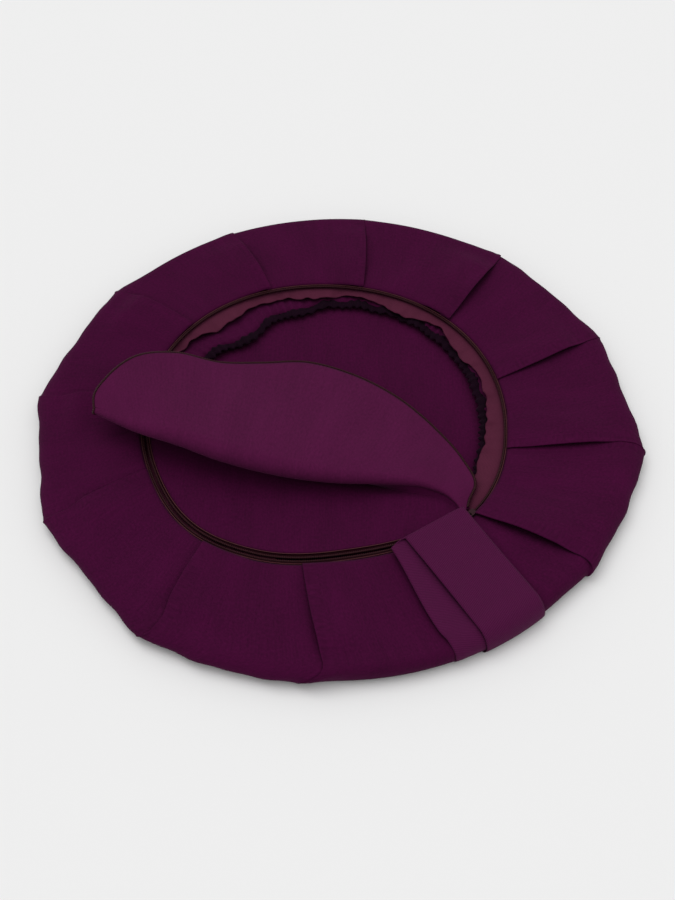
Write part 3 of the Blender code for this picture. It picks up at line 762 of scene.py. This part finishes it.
def make_elastic():
    """Ruched elastic: two rows of puckers with a stitched groove between them."""
    angles = full_turn(900)
    a = np.radians(angles)
    turn = np.linspace(0, 2 * pi, 15)[:-1]
    rib = 1 + 0.30 * gathers(a)
    double = 1 + 0.35 * np.abs(np.cos(turn)) ** 2
    wide = ELASTIC_HALF_WIDTH * double[None] * rib[:, None]
    r = elastic_middle(angles)[:, None] + wide * np.cos(turn)[None]
    dip = 1 - 0.42 * bump_at(np.cos(turn), 0, 0.28)
    z = ELASTIC_Z + ELASTIC_HALF_HEIGHT * np.sin(turn)[None] * rib[:, None] * dip[None]
    z = z + 0.0008 * np.sin(31 * a + 1)[:, None]
    points = arc_grid(np.stack([r, z], -1), angles)
    faces = tube_faces(len(angles), len(turn), True)
    middle_radius = 0.18
    uv = pairs(a * middle_radius, turn * CORD_WEAVE)
    band = add_object("channel_elastic_ruched", points, faces, uv, LOOKS["elastic"])
    attach(band, "cover", "channel_elastic")


def make_facing():
    """Facing strip behind the open zip, with a kinked and wavy free edge."""
    angles = full_turn(900)
    a = np.radians(angles)
    kink = np.abs(np.sin(9.5 * a + 0.9 * np.sin(4 * a))) ** 0.6
    wave = 0.0026 * (kink - 0.6) + 0.0010 * np.sin(31 * a + 1.2)
    wave = wave + 0.0008 * np.sin(57 * a + 2 * np.sin(7 * a))
    share = np.linspace(0, 1, 14)
    end = (around(FACING_SHAPE, angles) + wave)[:, None]
    start = (zip_radius(angles) + 0.0150)[:, None]
    r = start + (end - start) * share[None]
    curl = 0.0012 * np.sin(19 * a + 2 * np.sin(5 * a)) + 0.0008 * np.sin(47 * a + 3 * np.sin(3 * a))
    curl = curl + 0.0005 * np.sin(83 * a + 2 * np.sin(11 * a))
    z = -0.0030 - 0.0018 * ease(share, 0.25, 1.0)[None] + curl[:, None] * ease(share, 0.3, 1)[None]
    grid = arc_grid(np.stack([r, z], -1), angles, ZIP_CENTRE)
    strip = sheet("facing_strip_cloth", grid, 0.0007, LOOKS["facing"], True)
    attach(strip, "cover", "zip_facing_strip")


# ---------------------------------------------------------------- zip


def zip_path(offset, start, end, z=0.0, edge=0):
    """A path this far outside the middle of the zip; edge is 1 or -1 to follow the cloth's edge."""
    angles = np.linspace(start, end, max(8, round(abs(end - start) * 1.5)))
    return ZIP_CENTRE + polar(zip_radius(angles) + edge * zip_half(angles) + offset, angles, z)


def zip_strip(profile, start, end, count):
    """A profile of (distance outside the middle of the zip, height) carried along the zip."""
    angles = np.linspace(start, end, count)
    rows = np.array(profile, float)[None] + np.stack([zip_radius(angles), 0 * angles], -1)[:, None]
    return arc_grid(rows, angles, ZIP_CENTRE)


def make_ring_zip():
    """The ring's side of the zip, and the short length where the lid is sewn straight to the ring."""
    start, end = START_ANGLE - 360, FREE_END - 1.5
    row = coil("zip_ring_coil", zip_path(COIL_OFFSET, start, end))
    attach(row, "cover", "zip_coil_ring")
    profile = [(0.0034 + 0.0105 * t, 0.0002 + 0.0003 * sin(6 * t)) for t in np.linspace(0, 1, 6)]
    tape = sheet("zip_ring_tape", zip_strip(profile, start, end, 500), TAPE, LOOKS["tape"])
    attach(tape, "cover", "zip_tape_ring")
    path = zip_path(-0.0006, start, end + 6, 0.0012, 1)
    welt = cord("zip_ring_welt", path, UP, WELT_RADIUS, LOOKS["welt"])
    attach(welt, "cover", None)
    join = [(0.0074 * t, 0.0006) for t in np.linspace(-1, 1, 8)]
    grid = zip_strip(join, FREE_END + 0.6, START_ANGLE - 1.2, 12)
    patch = sheet("lid_seam_patch", grid, 0.0014, LOOKS["ring"])
    attach(patch, "cover", "lid_sewn_joint")


# ---------------------------------------------------------------- lid

SPLIT = ZIP_CENTRE + polar(ZIP_RADIUS, SPLIT_ANGLE)
END = ZIP_CENTRE + polar(ZIP_RADIUS, FREE_END)
FOLD_LINE = END - SPLIT


def lid_curves():
    """Free edge, middle of the roll, its radius and the outward direction, all at the same stations."""
    edge = through(FREE_EDGE, LID_STATIONS)
    crest = through(CREST, LID_STATIONS)
    middle, radius = crest[:, :3], crest[:, 3]
    out = unit(np.cross(UP, unit(np.gradient(middle, axis=0))))
    return edge, middle, radius, out


def make_flap(edge, middle, radius, out):
    """The lit upper layer with the roll along its crest."""
    top = middle + UP * radius[:, None]
    s = np.linspace(0, 1, 44)[None, :, None]
    inward = unit(edge - top)
    span = np.linalg.norm(edge - top, axis=1)[:, None, None]
    first = edge[:, None] * (1 - s) + top[:, None] * s
    # The layer leaves the roll level and only then bends down to the pocket
    sag = np.sin(pi * s) ** 2 * span * 0.010
    belly = 0.5 * (s**2) * (1 - s) * span * np.abs(inward[:, None, 2:3])
    first = first + UP * (belly - sag)
    along = np.linspace(0, 1, LID_STATIONS)[:, None, None]
    ripple = 0.0012 * np.sin(9 * along * pi + 4 * s) + 0.0008 * np.sin(17 * along * pi - 3 * s)
    first = first + UP * ripple * np.sin(pi * s) * ease(span, 0.02, 0.08)
    turn = np.linspace(0, pi * 1.02, 20)[None, 1:, None]
    roll = middle[:, None] + radius[:, None, None] * (UP * np.cos(turn) + out[:, None] * np.sin(turn))
    # The flap takes the lid look: the ring's fabric painted lighter for the stronger light on it
    return sheet("lid_flap_cloth", np.concatenate([first, roll], axis=1), CLOTH, LOOKS["lid"])


def make_return(middle, radius, out):
    """The layer between the two folds, from inside the crest's roll down to the lower lid."""
    start = middle + out * (radius * 0.8)[:, None] - UP * (radius * 0.55)[:, None]
    line = SPLIT + FOLD_LINE * np.linspace(0.02, 1, LID_STATIONS)[:, None]
    # Its foot goes down just behind the lower lid's edge, which is the fold between them
    middle_share = np.sin(pi * np.linspace(0, 1, LID_STATIONS)) ** 0.6
    valley = line - UP * (0.0010 + 0.0040 * middle_share)[:, None]
    s = np.linspace(0, 1, 40)[None, :, None]
    grid = start[:, None] * (1 - s) + valley[:, None] * s
    grid = grid - UP * np.sin(pi * s) * 0.0030
    return sheet("lid_return_cloth", grid, CLOTH, LOOKS["ring"])


def make_flap_zip(edge, middle, radius, out):
    """The flap's coil and tape, along its free edge and over the end of the roll."""
    turn = np.linspace(0, pi, 12)[1:, None]
    end_roll = middle[-1] + radius[-1] * (UP * np.cos(turn) + out[-1] * np.sin(turn))
    path = through(np.concatenate([edge[4:], end_roll]), 400)
    outward = unit(path - np.array((-0.05, -0.03, 0.03)))
    outward[:, 2] *= 0.2
    outward = unit(outward)
    row = coil("zip_flap_coil", path + outward * COIL_RADIUS)
    # The tape starts narrow, where the flap itself does
    first = 24
    wide = ease(np.arange(first, len(path)), 8, 70)[:, None, None] * 0.0075
    across = np.linspace(0, 1, 5)[None, :, None]
    grid = path[first:, None] - outward[first:, None] * wide * across - UP * 0.0021
    tape = sheet("zip_flap_tape", grid, TAPE, LOOKS["tape"])
    return row, tape


def make_return_zip(middle, radius):
    """The return's coil and tape, hanging from the roll's end down to the zip."""
    start = middle[-1] - UP * radius[-1]
    share = np.linspace(0, 1, 60)[:, None]
    path = start * (1 - share) + (END + UP * 0.003) * share
    path = path + np.array((-0.008, -0.003, 0)) * np.sin(pi * share)
    row = coil("zip_return_coil", path, (0.3, 0, 1))
    side = unit(np.array((1.0, -0.4, 0)))
    grid = path[:, None] + side * np.linspace(0.0, 0.011, 5)[None, :, None] - UP * 0.0011
    tape = sheet("zip_return_tape", grid, TAPE, LOOKS["tape"])
    return row, tape


def lower_lid_grid():
    """Lower lid, flat under the fold, from a lip behind the fold out to the zip, with a soft sag."""
    low = np.linspace(0, 1, 120)
    direction = unit(FOLD_LINE)
    # The lip is widest near the slider, where it closes the space below the folded layers
    lip = (0.003 + 0.052 * bump_at(low, 0.24, 0.21))[:, None]
    to_open_half = np.cross(direction, UP)
    line = SPLIT + direction * 0.003 + (FOLD_LINE - direction * 0.006) * low[:, None] + to_open_half * lip
    angles = FREE_END + (360 + SPLIT_ANGLE - FREE_END) * (1 - low)
    edge_radius = zip_radius(angles) - zip_half(angles)
    arc = ZIP_CENTRE + polar(edge_radius, angles)
    reach = np.linalg.norm(line - ZIP_CENTRE, axis=1)[:, None]
    line = ZIP_CENTRE + (line - ZIP_CENTRE) * np.minimum(1, (ZIP_RADIUS - 0.0060) / reach)
    s = np.linspace(0, 1, 50)[None, :, None]
    grid = line[:, None] * (1 - s) + arc[:, None] * s
    inside = 1 - ease(np.linalg.norm(grid - ZIP_CENTRE, axis=2) / edge_radius[:, None], 0.55, 1.0)
    x, y = grid[..., 0], grid[..., 1]
    grid[..., 2] += -0.0035 * inside + 0.0007 * np.sin(38 * x + 21 * y) + 0.0005 * np.sin(61 * x - 33 * y)
    # Short pull creases by the zip: middle, direction in degrees, length and height
    creases = (((-0.128, -0.112), 30, 0.016, 0.0011), ((-0.108, -0.128), 38, 0.020, 0.0014))
    for middle, slant, length, height in creases:
        ahead, beside = polar(1.0, slant), polar(1.0, slant + 90)
        along = (x - middle[0]) * ahead[0] + (y - middle[1]) * ahead[1]
        aside = (x - middle[0]) * beside[0] + (y - middle[1]) * beside[1]
        ridges = np.sin(aside / 0.0024) * bump_at(aside, 0, 0.0050)
        grid[..., 2] += height * bump_at(along, 0, length) * ridges
    return grid


def make_lower_lid():
    """The part of the lid that is still closed, with its side of the zip."""
    grid = lower_lid_grid()
    lower = sheet("lid_lower_cloth", grid, CLOTH, LOOKS["ring"], False, grid[..., :2])
    attach(lower, "cover", "lid_panel_lower")
    start = START_ANGLE - 360
    row = coil("zip_lower_coil", zip_path(-COIL_OFFSET, start, SPLIT_ANGLE))
    attach(row, "cover", "zip_coil_lid_lower")
    profile = [(-0.0120 + 0.0086 * t, -0.0016 + 0.0012 * t) for t in np.linspace(0, 1, 5)]
    tape = sheet("zip_lower_tape", zip_strip(profile, start, SPLIT_ANGLE, 260), TAPE, LOOKS["tape"])
    attach(tape, "cover", "zip_tape_lid_lower")
    path = zip_path(0.0004, start, SPLIT_ANGLE, 0.0010, -1)
    welt = cord("zip_lower_welt", path, UP, WELT_RADIUS, LOOKS["welt"])
    attach(welt, "cover", None)


def make_folded_lid():
    """Flap and return with their zip, each following its own body of the lid."""
    edge, middle, radius, out = lid_curves()
    flap = make_flap(edge, middle, radius, out)
    back = make_return(middle, radius, out)
    layers = (
        ("flap", CLOSED_FLAP_LIFT, flap, *make_flap_zip(edge, middle, radius, out)),
        ("return", CLOSED_RETURN_LIFT, back, *make_return_zip(middle, radius)),
    )
    for layer, lift, cloth, row, tape in layers:
        attach(cloth, f"lid_{layer}", f"lid_panel_{layer}")
        attach(row, f"lid_{layer}", f"zip_coil_lid_{layer}")
        attach(tape, f"lid_{layer}", f"zip_tape_lid_{layer}")
        for piece in (cloth, row, tape):
            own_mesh(piece)


# ---------------------------------------------------------------- strap


def strap_path():
    """Middle of the webbing as rows of (distance along the strap, height, sideways slip)."""
    rim = 0.306  # where the turn over the rim is centred
    reach = HOOP_OUTER - rim
    upper = STRAP_TOP + STRAP_GAP
    path = []
    # Up from the back hem and round the rim
    for t in np.linspace(0, 1, 12):
        path.append((0.2465 + (rim - 0.2465) * t, 0.0010, -STRAP_FAN))
    for turn in np.linspace(0.04, 0.96, 18) * pi:
        path.append((rim + (reach + 0.0014) * sin(turn), 0.0140 - 0.0130 * cos(turn), -STRAP_FAN))
    # In over the ring, round the turned end and out again
    for t in np.linspace(0, 1, 30):
        slip = -STRAP_FAN + (STRAP_FAN - STRAP_SLIP) * ease(t, 0.1, 1.15)
        path.append((STRAP_OUTER - (STRAP_OUTER - STRAP_INNER) * t, STRAP_TOP - 0.0012 * sin(pi * t), slip))
    for turn in np.linspace(0.1, 0.9, 9) * pi:
        slip = -STRAP_SLIP * (1 - turn / pi)
        height = STRAP_TOP + STRAP_GAP / 2 * (1 - cos(turn))
        path.append((STRAP_INNER - STRAP_GAP / 2 * sin(turn), height, slip))
    for t in np.linspace(0, 1, 30):
        path.append((STRAP_INNER + (STRAP_OUTER - STRAP_INNER) * t, upper - 0.0012 * sin(pi * t), 0))
    # Down over the rim
    for turn in np.linspace(0.04, 0.80, 16) * pi:
        path.append((rim + (reach + 0.0034) * sin(turn), 0.0136 + (upper - 0.0136) * cos(turn), 0))
    return np.array(path).T


def make_strap():
    """One length of webbing along the strap's path, with its free edges and its turn over the rim."""
    along, height, slip = strap_path()
    half = STRAP_WIDTH / 2
    side = np.linspace(-half, half, 26)
    grid = polar(along, STRAP_ANGLE)[:, None]
    grid = grid + polar(1.0, STRAP_ANGLE + 90) * (STRAP_SIDE + slip[:, None] + side[None])[..., None]
    grid[..., 2] = height[:, None]
    # Where it turns over the rim every thread of the strap follows the rim
    over = ease(along, 0.285, 0.306)[:, None]
    angle = np.degrees(np.arctan2(grid[..., 1], grid[..., 0]))
    distance = np.linalg.norm(grid[..., :2], axis=2)
    wanted = along[:, None] + outline_radius(angle) - HOOP_OUTER
    grid[..., :2] *= (1 + (wanted / distance - 1) * over)[..., None]
    # Its free left edges stand a little off what is below them
    on_top = height > 0.02
    bowed = np.sin(pi * np.clip((along - STRAP_INNER) / (0.300 - STRAP_INNER), 0, 1)) * on_top
    grid[..., 2] += 0.0024 * bowed[:, None] * (np.clip(-side / half, 0, 1) ** 2)[None]
    edge = bump_at(np.abs(side), half, 0.0022)
    grid[..., 2] += 0.0004 * (1 - edge)[None] * on_top[:, None]
    strap = sheet("strap_webbing", grid, WEBBING, LOOKS["strap"])
    # The middle of the rim's flat side that the strap turns over
    bend = polar(RIM_FLAT, RIM_NORMAL)
    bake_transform(strap)
    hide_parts("strap_loop", "strap_rim_wrap")


# ---------------------------------------------------------------- CAD nodes that stay


def finish_cad_nodes():
    looks = {
        "hoop_tube": "hoop",
        "hoop_joint_plug": "plug",
        "hoop_joint_pin_a": "pin",
        "hoop_joint_pin_b": "pin",
        "zip_slider_body": "metal",
        "zip_puller": "metal",
        "zip_start_stop": "metal",
        "zip_end_stop_ring": "metal",
        "zip_end_stop_lid": "metal",
    }
    for node, look in looks.items():
        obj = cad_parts[node]
        obj.data.materials.clear()
        obj.data.materials.append(LOOKS[look])
        obj.data.shade_smooth()
        obj.data.set_sharp_from_angle(angle=radians(35))


# ---------------------------------------------------------------- studio


def make_floor():
    bpy.ops.mesh.primitive_plane_add(size=14)
    floor = bpy.context.object
    floor.name = "floor"
    paper = bpy.data.materials.new("paper")
    paper.use_nodes = True
    shader = paper.node_tree.nodes["Principled BSDF"]
    shader.inputs["Base Color"].default_value = (0.86, 0.86, 0.86, 1)
    shader.inputs["Roughness"].default_value = 0.95
    shader.inputs["Specular IOR Level"].default_value = 0.0
    floor.data.materials.append(paper)


def make_lights():
    world = bpy.data.worlds.new("studio")
    bpy.context.scene.world = world
    world.use_nodes = True
    background = world.node_tree.nodes["Background"]
    background.inputs["Color"].default_value = (1, 1, 1, 1)
    background.inputs["Strength"].default_value = 0.64
    # Name, direction towards the lamp, its spread in degrees and its strength
    lamps = (("key", (-0.42, 0.40, 1.35), 45, 0.86), ("fill", (0.15, -0.35, 1.2), 40, 0.36))
    for name, place, spread, power in lamps:
        light = bpy.data.lights.new(name, "SUN")
        light.angle = radians(spread)
        light.energy = power
        lamp = bpy.data.objects.new(name, light)
        lamp.rotation_euler = Vector(place).to_track_quat("Z", "Y").to_euler()
        bpy.context.scene.collection.objects.link(lamp)
    bpy.context.scene.view_settings.view_transform = "Standard"


def make_camera():
    """Looks down on the object from its front, rolled a little and with a small lens shift."""
    elevation, roll = radians(51.14), radians(0.30)
    distance = 1.774
    target = Vector((0, 0, 0.012))
    camera = bpy.data.objects.new("camera", bpy.data.cameras.new("camera"))
    camera.location = target + Vector((0, -cos(elevation), sin(elevation))) * distance
    look = Euler((pi / 2 - elevation, 0, 0)).to_matrix() @ Euler((0, 0, roll)).to_matrix()
    camera.rotation_euler = look.to_euler()
    camera.data.lens = 64.2
    camera.data.shift_x = 0.0008
    camera.data.shift_y = -0.0270
    bpy.context.scene.collection.objects.link(camera)
    bpy.context.scene.camera = camera


make_ring()
make_back_panel()
make_channel_flap()
make_elastic()
make_facing()
make_ring_zip()
make_folded_lid()
make_lower_lid()
make_strap()
finish_cad_nodes()
make_floor()
make_lights()
make_camera()
